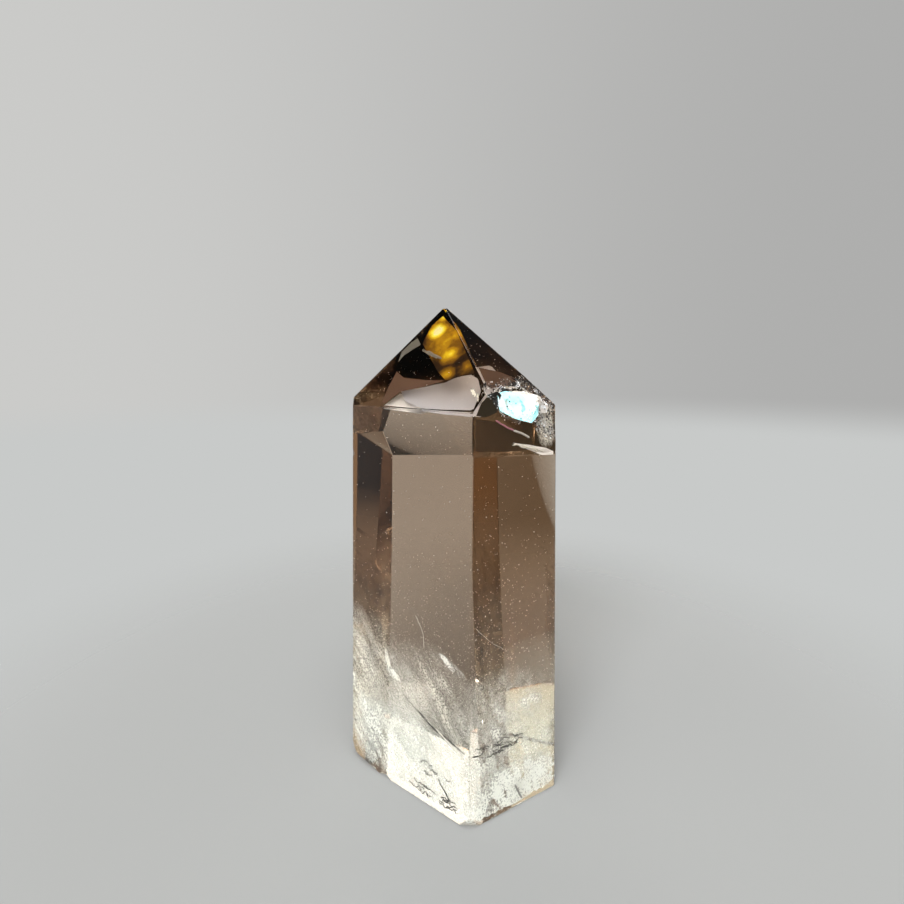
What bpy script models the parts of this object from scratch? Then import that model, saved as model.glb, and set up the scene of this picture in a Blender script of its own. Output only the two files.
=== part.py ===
"""Smoky quartz point: one polished, tapering six-sided crystal that stands on its sawn base.

The crystal is cut from a block the way a lapidary cuts it: the six prism faces first, then the
six faces of the point, which all run up to one apex, and then the base chamfer, the blunted tip
and the broken corners. A bruise with shell-like flakes takes away the shoulder above the
front right face. Metres, +Z up, the base on Z = 0, the edge between the two front faces to -Y.
"""

import math
from collections import namedtuple

import bmesh
import bpy
from mathutils import Vector, noise

MM = 0.001

# A prism face looks out along its azimuth. At the base it stands `reach` from the axis, it leans
# inwards by `taper`, and it ends at its level shoulder, where its face of the point begins, which
# is turned by `turn` degrees about the apex. The two back faces lean outwards a little.
Face = namedtuple("Face", "name azimuth reach taper shoulder turn", defaults=(0.0,))
FACES = (
    Face("front_left", -126.0, 9.2, 1.7, 45.1),
    Face("front_right", -60.0, 12.2, 1.5, 47.2),
    Face("right", -4.1, 12.96, 1.64, 45.5),
    Face("back_right", 56.1, 10.22, -0.75, 38.2, 3.0),
    Face("back_left", 123.05, 13.375, -0.55, 40.72),
    Face("left", 184.6, 12.61, 1.79, 45.99),
)
APEX = Vector((-0.55, 1.4, 56.4))  # a little off the axis, as on most crystals
TIP_WEAR = 0.22  # how much of the apex is worn off
TIP_LEAN = 6.0  # degrees, of the worn spot at the tip

EDGE_POLISH = 0.14  # width of the polished-off edges
EDGE_ANGLE = 12.0  # degrees: sharper turns than this are edges
SHORTEST_EDGE = 0.03  # cuts that meet nearer than this meet in one corner
BASE_CHAMFER = 0.15

# A corner cut looks out along its azimuth and down by `dip`. It passes through the point that is
# `reach` out from the axis at `height`.
Cut = namedtuple("Cut", "azimuth dip reach height")
CORNER_CUTS = (
    Cut(-91.0, 27.0, 12.25, 0.4),  # front corner of the base, knocked off flat
    Cut(-152.0, 9.0, 11.95, 2.1),  # left corner of the base, the steep half of a chip
    Cut(-146.0, 57.0, 11.0, 0.75),  # and the flat half, which runs out under it
    Cut(101.0, 38.0, 14.0, 0.5),  # small knock on the back corner
)

# A flake is a hollow as deep as `depth` below `spot` on the surface, struck along `azimuth` and
# `rise` by a round cutter of this radius. Wide shallow ones lie under small deep ones.
Flake = namedtuple("Flake", "name spot azimuth rise radius depth")
FLAKES = (
    Flake("shoulder_scar", (6.95, -8.75, 45.7), -60.0, 17.0, 7.0, 0.66),
    Flake("rim_left", (4.6, -9.75, 47.1), -62.0, 44.0, 2.3, 0.5),
    Flake("rim_middle", (6.6, -8.4, 47.6), -60.0, 52.0, 2.7, 0.62),
    Flake("rim_right", (8.7, -7.0, 47.45), -52.0, 50.0, 2.6, 0.72),
    Flake("corner_break", (10.6, -6.2, 46.2), -40.0, 36.0, 3.0, 0.7),
    Flake("corner_flake", (10.2, -6.8, 43.9), -50.0, 6.0, 6.0, 0.46),
    Flake("edge_nick", (-11.3, -1.7, 39.6), -154.0, 0.0, 0.8, 0.2),
    Flake("base_nick", (-7.8, -5.5, 0.15), -128.0, -28.0, 1.3, 0.22),
)
RIPPLE = 0.035  # share of a flake's radius that its shell-like waves rise
RIPPLE_COUNT = 5.0  # waves across a flake's radius
WIDE_FLAKE = 4.0  # a cutter of more than this radius has finer faces

SMOKY_BROWN = (0.105, 0.055, 0.032, 1.0)
QUARTZ_IOR = 1.544
QUARTZ_ROUGHNESS = 0.05


def clear_scene():
    for obj in list(bpy.data.objects):
        bpy.data.objects.remove(obj, do_unlink=True)


def new_collection(name, helpers=False):
    collection = bpy.data.collections.new(name)
    collection.hide_render = helpers
    bpy.context.scene.collection.children.link(collection)
    return collection


def direction(azimuth, rise=0.0):
    """Unit vector that points along an azimuth and up by `rise`, both in degrees."""
    around, up = math.radians(azimuth), math.radians(rise)
    return Vector((math.cos(around) * math.cos(up), math.sin(around) * math.cos(up), math.sin(up)))


def cut_away(bm, point, outwards):
    """Saws the convex block along a plane and closes it there. What lies outwards is removed."""
    sawn = bmesh.ops.bisect_plane(
        bm,
        geom=bm.verts[:] + bm.edges[:] + bm.faces[:],
        plane_co=point,
        plane_no=outwards,
        dist=1e-6,
        clear_outer=True,
    )
    rim = [item for item in sawn["geom_cut"] if isinstance(item, bmesh.types.BMEdge)]
    if rim:
        bmesh.ops.edgeloop_fill(bm, edges=rim)


def cut_prism(bm):
    for face in FACES:
        outwards = direction(face.azimuth, face.taper)
        cut_away(bm, direction(face.azimuth) * face.reach, outwards)


def cut_point(bm):
    """Each face of the point holds the apex, and its prism face's level shoulder unless turned."""
    worn = direction(FACES[0].azimuth, 90.0 - TIP_LEAN)
    cut_away(bm, APEX - Vector((0.0, 0.0, TIP_WEAR)), worn)
    for face in FACES:
        flat = direction(face.azimuth)
        drawn_in = face.shoulder * math.tan(math.radians(face.taper))
        run = face.reach - drawn_in - APEX.dot(flat)
        climb = math.degrees(math.atan2(run, APEX.z - face.shoulder))
        cut_away(bm, APEX, direction(face.azimuth + face.turn, climb))


def cut_base(bm):
    for cut in CORNER_CUTS:
        point = direction(cut.azimuth) * cut.reach + Vector((0.0, 0.0, cut.height))
        cut_away(bm, point, direction(cut.azimuth, -cut.dip))
    for face in FACES:
        point = direction(face.azimuth) * (face.reach - BASE_CHAMFER)
        cut_away(bm, point, direction(face.azimuth, -45.0))


def centre_on_base(bm):
    """Moves the crystal so that the middle of its box is over the origin, and returns the move."""
    low = Vector(min(v.co[axis] for v in bm.verts) for axis in range(3))
    high = Vector(max(v.co[axis] for v in bm.verts) for axis in range(3))
    move = Vector((-(low.x + high.x) / 2, -(low.y + high.y) / 2, -low.z))
    bmesh.ops.translate(bm, verts=bm.verts, vec=move)
    return move


def to_metres(bm):
    bmesh.ops.scale(bm, verts=bm.verts, vec=(MM, MM, MM))


def object_from(bm, name, collection):
    mesh = bpy.data.meshes.new(name)
    bm.to_mesh(mesh)
    bm.free()
    obj = bpy.data.objects.new(name, mesh)
    collection.objects.link(obj)
    return obj


def cut_crystal(collection):
    bm = bmesh.new()
    bmesh.ops.create_cube(bm, size=1.0)
    bmesh.ops.scale(bm, verts=bm.verts, vec=(60.0, 60.0, 70.0))
    bmesh.ops.translate(bm, verts=bm.verts, vec=(0.0, 0.0, 35.0))
    cut_prism(bm)
    cut_point(bm)
    cut_base(bm)
    bmesh.ops.remove_doubles(bm, verts=bm.verts, dist=SHORTEST_EDGE)
    bmesh.ops.dissolve_degenerate(bm, edges=bm.edges, dist=SHORTEST_EDGE)
    move = centre_on_base(bm)
    to_metres(bm)
    bmesh.ops.recalc_face_normals(bm, faces=bm.faces)
    return object_from(bm, "smoky_quartz_point", collection), move


def flake_cutter(flake, move, collection):
    """A ball whose rings of low waves leave the shell-like ripples of broken quartz."""
    strike = direction(flake.azimuth, flake.rise)
    fineness = 5 if flake.radius > WIDE_FLAKE else 4
    bm = bmesh.new()
    bmesh.ops.create_icosphere(bm, subdivisions=fineness, radius=flake.radius)
    for vert in bm.verts:
        outwards = vert.co.normalized()
        from_centre = (outwards + strike).length * RIPPLE_COUNT
        wave = math.sin(math.tau * from_centre) * 0.35
        chance = noise.noise(outwards * RIPPLE_COUNT + Vector(flake.spot))
        vert.co += outwards * flake.radius * RIPPLE * (wave + chance)
    centre = Vector(flake.spot) + strike * (flake.radius - flake.depth) + move
    bmesh.ops.translate(bm, verts=bm.verts, vec=centre)
    to_metres(bm)
    cutter = object_from(bm, "cutter_" + flake.name, collection)
    cutter.hide_render = True
    cutter.display_type = "WIRE"
    return cutter


def polish_edges(crystal):
    bevel = crystal.modifiers.new("polished_edges", "BEVEL")
    bevel.width = EDGE_POLISH * MM
    bevel.segments = 1
    bevel.limit_method = "ANGLE"
    bevel.angle_limit = math.radians(EDGE_ANGLE)
    bevel.use_clamp_overlap = True


def strike_flakes(crystal, move, collection):
    for flake in FLAKES:
        chip = crystal.modifiers.new(flake.name, "BOOLEAN")
        chip.operation = "DIFFERENCE"
        chip.solver = "EXACT"
        chip.object = flake_cutter(flake, move, collection)


def quartz_material():
    material = bpy.data.materials.new("smoky_quartz")
    material.use_nodes = True
    shader = material.node_tree.nodes["Principled BSDF"]
    shader.inputs["Base Color"].default_value = SMOKY_BROWN
    shader.inputs["Metallic"].default_value = 0.0
    shader.inputs["Roughness"].default_value = QUARTZ_ROUGHNESS
    shader.inputs["IOR"].default_value = QUARTZ_IOR
    material.diffuse_color = SMOKY_BROWN
    return material


def main():
    clear_scene()
    parts = new_collection("smoky_quartz_point")
    cutters = new_collection("cutters", helpers=True)
    crystal, move = cut_crystal(parts)
    crystal.data.materials.append(quartz_material())
    polish_edges(crystal)
    strike_flakes(crystal, move, cutters)


main()
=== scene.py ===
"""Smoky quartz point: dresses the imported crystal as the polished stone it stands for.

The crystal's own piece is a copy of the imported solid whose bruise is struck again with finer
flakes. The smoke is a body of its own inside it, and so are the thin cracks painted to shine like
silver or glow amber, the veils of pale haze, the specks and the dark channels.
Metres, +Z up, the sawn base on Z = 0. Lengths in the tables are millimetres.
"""

import math
from collections import namedtuple

import bmesh
import bpy
import numpy as np
from mathutils import Matrix, Vector, noise
from mathutils.bvhtree import BVHTree


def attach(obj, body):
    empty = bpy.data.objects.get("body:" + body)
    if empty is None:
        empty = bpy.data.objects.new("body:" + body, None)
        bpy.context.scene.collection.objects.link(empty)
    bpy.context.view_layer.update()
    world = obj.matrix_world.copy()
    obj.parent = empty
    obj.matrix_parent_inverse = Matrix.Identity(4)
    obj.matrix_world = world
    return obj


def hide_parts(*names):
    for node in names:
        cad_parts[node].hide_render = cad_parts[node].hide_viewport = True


bl_info = {
    "name": "Smoky Quartz Point",
    "version": (1, 0, 0),
    "blender": (4, 5, 0),
    "location": "3D View > Sidebar > Quartz",
    "description": "Dresses a packed smoky quartz point with its stone, cracks, specks and stage",
    "category": "Add Mesh",
}

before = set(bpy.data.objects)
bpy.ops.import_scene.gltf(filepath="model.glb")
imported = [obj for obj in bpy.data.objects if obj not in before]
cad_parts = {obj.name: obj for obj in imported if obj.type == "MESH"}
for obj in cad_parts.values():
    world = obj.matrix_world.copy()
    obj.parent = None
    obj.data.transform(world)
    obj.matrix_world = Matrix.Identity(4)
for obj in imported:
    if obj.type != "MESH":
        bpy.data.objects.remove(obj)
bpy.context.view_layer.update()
NODE = "smoky_quartz_point"
ROOT = "root"
MM = 0.001

# A flake is a small hollow struck out of the bruise: where, the direction it faces, the radius of
# the ball that strikes it, and how deep it goes.
Flake = namedtuple("Flake", "spot azimuth rise radius depth")
FLAKES = (
    Flake((5.2, -10.3, 47.3), -70.0, 40.0, 0.9, 0.28),
    Flake((6.1, -9.7, 47.6), -50.0, 60.0, 0.8, 0.30),
    Flake((7.1, -9.3, 47.9), -75.0, 45.0, 0.7, 0.26),
    Flake((7.9, -8.6, 48.0), -45.0, 58.0, 0.9, 0.32),
    Flake((8.8, -8.1, 47.8), -60.0, 40.0, 0.7, 0.26),
    Flake((9.6, -7.5, 47.3), -40.0, 55.0, 0.8, 0.30),
    Flake((10.4, -7.1, 46.6), -52.0, 35.0, 0.8, 0.28),
    Flake((11.0, -7.0, 45.6), -38.0, 30.0, 0.8, 0.28),
    Flake((11.3, -7.2, 44.3), -48.0, 8.0, 1.0, 0.26),
    Flake((10.2, -7.9, 44.7), -60.0, 12.0, 0.9, 0.24),
    Flake((5.4, -10.6, 45.9), -64.0, 20.0, 0.8, 0.22),
    Flake((6.4, -10.2, 44.8), -60.0, 5.0, 0.9, 0.2),
)
FLAKE_UNEVEN = 0.12  # share of its radius by which the ball that strikes a flake is uneven
FLAKE_LUMPS = 3.0  # and how fine its lumps are
BRUISE = (6.5, -8.0, 46.0)  # where the bruise was struck
BREAK = (10.5, -7.5, 46.0)  # and where its right corner broke off
BRUISE_LIMITS = (3.5, -5.0, 42.0)  # the bruise lies to the right of, in front of and above these
GROUND_DEPTH = 0.03  # in the bruise, what lies further than this from the ground planes is broken
LARGE_FACE = 12.0  # square millimetres: the larger ones are the crystal's ground faces
BREAK_MARGIN = 0.06  # grains and veils stay this far below the broken faces
FRONT_RIGHT_FACE = (-60.0, 1.5)  # azimuth and rise that this face looks out along

# An inner crack is a film of air. Its outline lies in one plane, and its shell-like waves rise
# this far, have this spacing and spread from the point where it was struck. The zones of dense
# smoke are shaped in the same manner.
Crack = namedtuple("Crack", "name finish outline waves spacing strike", defaults=(0.01, 1.5, BRUISE))
CRACKS = (
    Crack(  # the shallow crack that runs in from the bruise, its whiter left lobe
        "crack_left_lobe", "white",
        ((-7.0, -4.06, 44.88), (-4.86, -1.93, 45.48), (-3.0, -3.4, 45.26), (-1.6, -6.2, 44.73),
         (-2.6, -6.61, 44.58)),
        0.02, 2.3,
    ),
    Crack(  # and its main lobe
        "crack_main_lobe", "silver",
        ((-4.93, -2.7, 46.03), (-1.9, -2.7, 46.14), (0.63, -2.6, 46.25), (3.58, -0.99, 46.77),
         (4.56, -3.09, 46.26), (4.42, -5.86, 45.53), (2.89, -9.6, 44.51), (-2.41, -7.6, 44.84),
         (-4.42, -5.38, 45.35)),
        0.03, 3.1,
    ),
    Crack(  # the crack in the point, painted with an amber glow
        "crack_amber", "amber",
        ((-0.5, 0.8, 54.9), (-1.8, 0.6, 53.9), (-2.9, -0.6, 51.8), (-1.9, -2.9, 50.1), (-1.0, -5.0, 48.6),
         (-0.1, -6.5, 47.7), (1.5, -7.2, 48.2), (2.9, -8.0, 48.4), (2.0, -5.2, 50.7), (1.0, -2.1, 53.2)),
        0.02, 3.0, (1.0, -2.0, 56.0),
    ),
    Crack(  # the dark rim at the left of the bruise, a film of painted shade
        "crack_dark_rim", "dark",
        ((2.5, -11.6, 44.8), (3.0, -11.3, 46.0), (3.8, -10.8, 46.8), (4.8, -10.25, 47.1), (5.2, -10.0, 46.7),
         (4.8, -10.3, 45.8), (4.6, -10.4, 45.0), (3.5, -11.1, 44.6)),
    ),
    Crack(  # browner zones just under the two faces of the point
        "brown_zone_right", "brown",
        ((2.9, -7.9, 49.2), (5.2, -7.3, 48.7), (6.9, -7.4, 48.0), (5.5, -9.1, 47.4), (4.1, -10.0, 47.4),
         (3.5, -9.9, 47.7)),
    ),
    Crack(
        "brown_zone_left", "brown",
        ((-5.9, -2.1, 48.8), (-5.0, -3.4, 48.1), (-2.5, -5.4, 47.9), (-0.4, -6.9, 47.9), (-2.6, -5.9, 47.2),
         (-5.3, -4.6, 46.6), (-7.0, -4.6, 45.3), (-7.4, -4.2, 45.5), (-6.8, -3.2, 47.0)),
    ),
    Crack(  # a grey film high at the left
        "crack_grey", "grey",
        ((-5.8, -1.1, 49.8), (-5.5, -0.3, 51.0), (-4.6, -0.2, 51.9), (-3.6, -0.1, 52.6), (-3.2, -1.3, 51.8),
         (-4.2, -1.0, 51.2), (-5.3, -0.9, 50.5)),
        0.03, 0.8, (-3.0, 1.0, 52.0),
    ),
    Crack(  # the bright crack under the bruise
        "crack_under_bruise", "white",
        ((4.54, -6.73, 46.46), (5.52, -6.14, 46.64), (6.92, -5.82, 46.41), (8.54, -6.06, 45.57),
         (9.03, -6.95, 44.57), (8.18, -7.99, 43.93), (6.41, -8.23, 44.38), (4.84, -7.98, 45.2)),
        0.04, 1.5, BREAK,
    ),
    Crack(  # two small ones below it
        "crack_low", "white",
        ((6.2, -9.0, 41.8), (8.2, -7.8, 41.4), (10.0, -6.8, 40.9), (11.1, -6.3, 40.5), (11.0, -6.35, 40.1),
         (9.6, -7.2, 40.2), (8.2, -7.9, 40.9)),
        0.25, 0.9, BREAK,
    ),
    Crack(  # the darkest brown zone, below the bruise
        "brown_zone_low", "deep brown",
        ((2.40, -11.56, 44.50), (3.42, -10.62, 44.31), (4.82, -9.32, 43.88), (6.29, -7.98, 43.12),
         (8.04, -6.39, 42.09), (8.62, -5.89, 40.83), (8.07, -6.41, 40.69), (4.87, -9.40, 40.93),
         (2.43, -11.66, 41.28)),
        0.02,
    ),
    Crack(
        "crack_right", "silver",
        ((9.21, -4.83, 43.98), (10.69, -4.14, 43.24), (10.93, -5.02, 41.78), (9.84, -5.71, 42.09)),
        0.03, 0.8, BREAK,
    ),
)
# The darkest smoke lies on the inner side of these planes: a point on each, and its way outwards.
DEEP_SMOKE_CUTS = (((0.0, 0.0, 45.8), (0.0, 0.0, -1.0)), ((0.0, -0.6, 46.0), (0.0, -1.0, 0.0)))
# The smoke and its darkest part are the crystal drawn in by these shares and then lifted.
SMOKE_SHARES, SMOKE_LIFT = (0.93, 0.93, 0.955), (0.0, 0.0, 0.9)
DEEP_SMOKE_SHARES, DEEP_SMOKE_LIFT = (0.9, 0.9, 0.93), (0.0, 0.2, 2.6)
DOME_SIZE = (17.0, 18.0)  # half the width and depth of the clear dome below the smoke
TIP_HEIGHT = 56.0  # the stone's tints are spread up to here
TINT_HEIGHTS = (0.0, 0.3, 0.8, 0.97)  # shares of it at which the stone's four tints lie

GAP = 0.03  # thickness of a film of air
CRACK_LUMPS = 0.7  # how fine a crack's chance lumps are
CRACK_RINGS, CRACK_ROUND = 10, 48  # a crack's mesh has so many rings of so many points each
AMBER_SPOTS = (  # where the amber crack's painted glow lies: the place, how far the glow reaches, and how strong
    ((-1.1, -0.6, 53.2), 2.1, 1.2),
    ((0.3, -4.1, 50.6), 2.2, 0.78),
    ((-0.1, -5.9, 48.5), 1.6, 0.6),
    ((1.0, -2.4, 52.4), 1.6, 0.66),
    ((2.0, -6.6, 49.2), 1.8, 0.4),
    ((0.0, -2.0, 51.9), 5.4, 0.56),
    ((-0.5, 0.7, 54.8), 1.9, 0.75),
)
AMBER_TONES = (  # the painted glow's colours, from its dark ground to its yellow heart
    (0.0, "#100904"), (0.14, "#2e1c08"), (0.3, "#74500f"), (0.5, "#b48a12"), (0.66, "#e9cd22"),
    (0.8, "#fbfb5e"), (0.93, "#fdffc8"),
)
# The crushed quartz is white, with clouds of painted cyan reflection.
SHEEN_TONES = ((0.28, "#ffffff"), (0.38, "#a6f2ff"), (0.62, "#b4f6ff"), (0.72, "#ffffff"))
# The smooth facet in the middle of the bruise, crushed white with a painted cyan reflection: its
# outline near the broken face that it is laid on.
FACET = (
    (4.95, -10.75, 46.9), (6.1, -10.1, 47.1), (7.5, -9.3, 46.8), (9.1, -8.4, 45.9),
    (9.5, -8.2, 44.6), (8.4, -8.8, 43.8), (6.6, -9.85, 44.35), (5.0, -10.75, 45.3),
)
# The crushed white rim above and right of it.
WHITE_RIM = (
    (6.6, -9.8, 47.1), (8.2, -8.9, 47.0), (9.9, -7.9, 46.4), (10.9, -7.4, 45.6), (10.8, -7.4, 44.7),
    (9.6, -8.15, 44.7), (8.9, -8.5, 46.0),
)
FACET_INSET, RIM_INSET = -0.02, 0.01  # how deep the facet and the rim lie in the broken face
PATCH_RINGS = (0.2, 0.4, 0.6, 0.8, 0.92, 1.0)  # where the rings of their meshes lie
PATCH_ROUND = 40  # points in each
PATCH_START = 2.0  # they are laid on from this far outside
CRUMB_DEPTHS = (-0.03, 0.4)  # the least and greatest depth of a crumb below the broken faces
CRUMB_SPREAD = 0.06  # how far it strays from there
SHADE_BLOB_SIZE = 1.5  # a blob of painted shade is this many times as large as a crumb

# A veil is a healed crack full of tiny bubbles: an oval sheet of white haze drawn out along the
# stone's grain. It has a centre, a long way and a way that it faces, its length and width, and
# how thick the haze is.
Veil = namedtuple("Veil", "centre along faces length width haze")
VEIL_RINGS, VEIL_ROUND = 14, 48  # a veil's mesh has so many rings of so many points each
VEIL_BEND, VEIL_BENDS = 0.35, 0.4  # how far a veil bends out of its plane, and how often
GRAIN = (0.55, -0.32, -0.77)  # the way that veils and threads near the base are drawn out
FRONT = (-0.59, -0.81, 0.05)  # veils at the left face the front left face
RIGHT = (0.5, -0.86, 0.05)  # those at the right face the front right face
VEILS = (
    Veil((-2.1, -9.2, 3.9), (0.78, -0.58, -0.22), FRONT, 13.4, 11.4, 1.9),
    Veil((-2.4, -9.1, 6.6), (0.75, -0.56, -0.3), FRONT, 12.5, 7.0, 1.3),
    Veil((-5.7, -5.7, 12.3), (0.57, -0.44, -0.69), FRONT, 22.0, 10.0, 0.85),
    Veil((-1.3, -8.2, 12.4), (0.51, -0.40, -0.76), FRONT, 15.0, 13.0, 0.95),
    Veil((1.6, -11.2, 9.5), (0.0, -0.05, -1.0), FRONT, 10.0, 3.6, 0.9),
    Veil((-10.2, -2.0, 10.0), (0.11, -0.12, -0.99), FRONT, 23.0, 8.0, 1.7),
    Veil((-7.6, -5.0, 4.6), (0.8, -0.58, -0.1), FRONT, 12.0, 11.0, 2.6),
    Veil((-6.0, -3.6, 6.5), GRAIN, FRONT, 11.0, 6.0, 1.0),
    Veil((7.6, -9.6, 2.0), (0.87, 0.50, -0.03), RIGHT, 16.0, 7.5, 4.0),
    Veil((7.4, -9.0, 6.4), (0.81, 0.46, 0.0), RIGHT, 15.0, 12.0, 1.2),
    Veil((3.8, -11.1, 6.0), (0.1, 0.06, -1.0), RIGHT, 14.0, 5.0, 1.7),
    Veil((5.1, -10.9, 9.7), (0.0, 0.02, -1.0), RIGHT, 10.5, 5.0, 1.3),
    Veil((6.2, -9.6, 12.4), (0.82, 0.47, -0.32), RIGHT, 14.0, 9.7, 0.9),
    Veil((10.0, -6.3, 43.6), (0.1, 0.1, -1.0), RIGHT, 6.0, 2.8, 3.0),
    # Painted glints: small veils of thick white haze, bright where such a veil catches the light.
    Veil((8.5, -8.8, 12.3), (0.87, 0.50, -0.05), RIGHT, 5.0, 2.0, 2.0),
    Veil((-7.1, -5.6, 15.2), (0.19, -0.17, -0.97), FRONT, 3.4, 0.8, 4.0),
    Veil((-6.2, -6.3, 13.9), (0.67, -0.50, -0.55), FRONT, 2.4, 1.0, 4.0),
    Veil((0.5, -11.0, 18.0), (0.73, -0.54, -0.42), FRONT, 4.2, 1.1, 3.0),
    Veil((-11.9, -2.6, 11.2), (0.18, -0.16, -0.97), FRONT, 3.6, 0.8, 3.0),
    Veil((-10.4, -3.4, 8.1), (0.24, -0.21, -0.95), FRONT, 3.6, 1.0, 3.0),
    Veil((-2.2, -9.4, 7.0), (0.75, -0.56, -0.35), FRONT, 4.4, 1.6, 1.8),
    Veil((2.6, -9.6, 46.6), (0.3, -0.6, -0.7), (-0.1, -0.4, 0.9), 1.6, 0.5, 4.0),
    Veil((3.1, -10.2, 46.2), (0.1, -0.2, -0.97), FRONT, 1.2, 0.3, 4.0),
)

# Threads are fine channels and cracks seen from their edge: both ends, how far the middle bows out
# and how wide they are. A bundle holds several side by side, and a squiggle wanders.
Thread = namedtuple("Thread", "finish start end bow radius count spread wander")
THREAD_STEPS, THREAD_SIDES = 14, 5  # steps along a thread, and sides of its tube
THREAD_TIP = 0.15  # width of a thread's ends, as a share of its own
FRONT_EDGE = 1.5  # a thread that starts left of this lies below the front left face
WANDER_DEPTH = 0.4  # a thread wanders this much as far in depth as sideways
CALM_WANDER = 0.4  # one that wanders further is a squiggle
# In a bundle: where along its way a thread begins at the latest, how long it is at most, both as
# shares of the way, and how fine its bends are.
CALM, SQUIGGLE = (0.6, 0.9, 1.3), (0.85, 0.3, 2.6)
SHORTEST = 0.3  # and the shortest is this share of the longest
PATTERN_SHIFT = 50.0  # each thread bends by another part of the noise, up to this far off
THREADS = (
    # The first four rows are the diagonal bundle: white threads of painted highlight, dark ones of painted
    # shade.
    Thread("white", (-3.6, -8.5, 10.8), (1.9, -12.5, 7.9), -0.2, 0.035, 7, 0.9, 0.12),
    Thread("dark", (-5.6, -7.0, 12.6), (-1.0, -10.5, 9.5), 0.1, 0.045, 3, 0.4, 0.1),
    Thread("dark", (-1.2, -10.4, 9.6), (1.9, -12.6, 8.4), -0.1, 0.05, 3, 0.3, 0.12),
    Thread("dark", (2.2, -12.8, 8.5), (3.3, -12.2, 8.2), 0.05, 0.07, 2, 0.1, 0.1),
    Thread("white", (-9.6, -2.5, 17.5), (-5.9, -5.8, 13.3), -0.2, 0.03, 3, 0.7, 0.2),
    Thread("dark", (-5.4, -8.1, 1.9), (0.9, -12.6, 1.7), 0.1, 0.065, 16, 1.5, 0.42),
    Thread("dark", (-3.3, -9.4, 4.6), (0.5, -12.2, 4.4), 0.0, 0.055, 7, 1.8, 0.42),
    Thread("dark", (-1.8, -10.6, 4.4), (0.2, -12.1, 2.0), 0.0, 0.08, 3, 0.6, 0.25),
    Thread("dark", (2.4, -13.0, 9.0), (8.2, -9.7, 8.2), 0.0, 0.055, 20, 1.8, 0.42),
    Thread("grey", (4.6, -11.6, 8.0), (6.0, -10.8, 5.4), 0.0, 0.05, 1, 0.0, 0.1),
    Thread("grey", (7.3, -10.2, 2.7), (8.2, -9.8, 0.5), 0.0, 0.12, 1, 0.0, 0.05),
    Thread("white", (-3.7, -8.1, 22.3), (-2.7, -9.0, 18.7), -0.45, 0.035, 1, 0.0, 0.1),
    Thread("white", (2.5, -12.2, 23.0), (5.8, -10.4, 19.5), 0.2, 0.02, 1, 0.0, 0.1),
    Thread("grey", (-3.2, -0.9, 51.6), (-0.6, -4.0, 50.1), 0.15, 0.14, 3, 0.5, 0.1),
    Thread("rose", (4.4, -10.1, 44.2), (6.4, -8.9, 43.1), 0.1, 0.09, 1, 0.0, 0.1),
    Thread("silver", (6.3, -9.0, 43.0), (8.2, -7.9, 42.2), -0.1, 0.12, 1, 0.0, 0.15),
    Thread("white", (6.2, -9.1, 41.6), (10.0, -7.0, 40.3), -0.1, 0.1, 2, 0.3, 0.25),
    Thread("silver", (9.7, -7.0, 45.0), (9.9, -6.9, 42.2), 0.3, 0.12, 7, 1.3, 0.5),
)

# A field of light or shade on the studio's walls: its middle's azimuth and rise, the angles from
# there at which it is full and gone, and its colour and strength. Later ones cover earlier ones.
Field = namedtuple("Field", "azimuth rise inner outer colour strength")
FIELDS = (
    Field(-90.0, -10.0, 62.0, 92.0, "#8c8478", 1.0),  # the room behind the viewer
    Field(326.0, -16.0, 12.0, 30.0, "#b5a07e", 1.0),  # its warm lit corner at the right
    Field(224.0, -14.0, 10.0, 19.5, "#2a1a10", 1.0),  # its unlit corner at the left
    Field(90.0, 90.0, 42.0, 74.0, "#d6d6d2", 1.0),  # pale ceiling
    Field(97.0, 58.0, 17.0, 26.0, "#fbf8f4", 1.85),  # its lit part behind the stone
    Field(160.0, 48.0, 12.0, 26.0, "#34322e", 1.0),  # dark card at the upper left
    Field(203.0, 38.0, 12.0, 24.0, "#f2f4e6", 1.35),  # window at the left
    Field(56.0, 51.0, 8.0, 20.0, "#4a4846", 1.0),  # dark card at the upper right
    Field(250.0, 26.0, 13.0, 23.0, "#f8fbff", 20.0),  # soft lamp at the viewer's left
    Field(262.0, 72.0, 15.0, 25.0, "#fbfdff", 9.5),  # lamp above the viewer
)
RIGHT_WALL, HORIZON = (0.7, -0.7), (0.12, 0.05)  # cosines between which the backdrop's tones fade
FLOOR_GAP = 0.03  # the sawn base lies this far over the floor, so light passes below it
FLOOR_RADIUS = 400.0
# Between two distances from the middle the floor gives way to the studio's own, and the stone's
# painted contact shadow, with this much light in it, ends.
FLOOR_FADE, CONTACT_SHADOW = (40.0, 100.0, 0.0), (7.5, 9.3, 0.12)
CAMERA_PLACE = (0.271, -60.226, 49.6)  # before the stone and a little above its shoulders
CAMERA_PITCH = 9.76  # degrees downwards
FOCAL_LENGTH, SENSOR_WIDTH = 20.0, 36.0
SEEN_FROM, SEEN_TO = 2.0, 20000.0  # distances between which the camera sees anything

# Specks are scattered in this box. Their share falls upwards from the first to the least, and has
# a value of its own above the shoulders.
SPECK_BOX = ((-13.0, -13.5, 0.4), (13.0, 13.5, 55.0))
MOST_SPECKS, FEWEST_SPECKS, SPECK_FADE = 1.1, 0.12, 34.0
SHOULDER_HEIGHT, POINT_SPECKS = 46.0, 0.5
# The cloud's own box, the slope that it is drawn out along, how fine its streaks are across and
# along it, and its top, which is this high in the middle and falls to the right.
CLOUD_BOX = ((-13.0, -13.5, 0.3), (13.0, 13.5, 24.0))
CLOUD_SLOPE, CLOUD_ACROSS, CLOUD_ALONG = (0.62, 0.05, -0.78), 0.55, 0.08
CLOUD_TOP, CLOUD_FALL, CLOUD_FADE = 15.0, 0.55, 14.0
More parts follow.
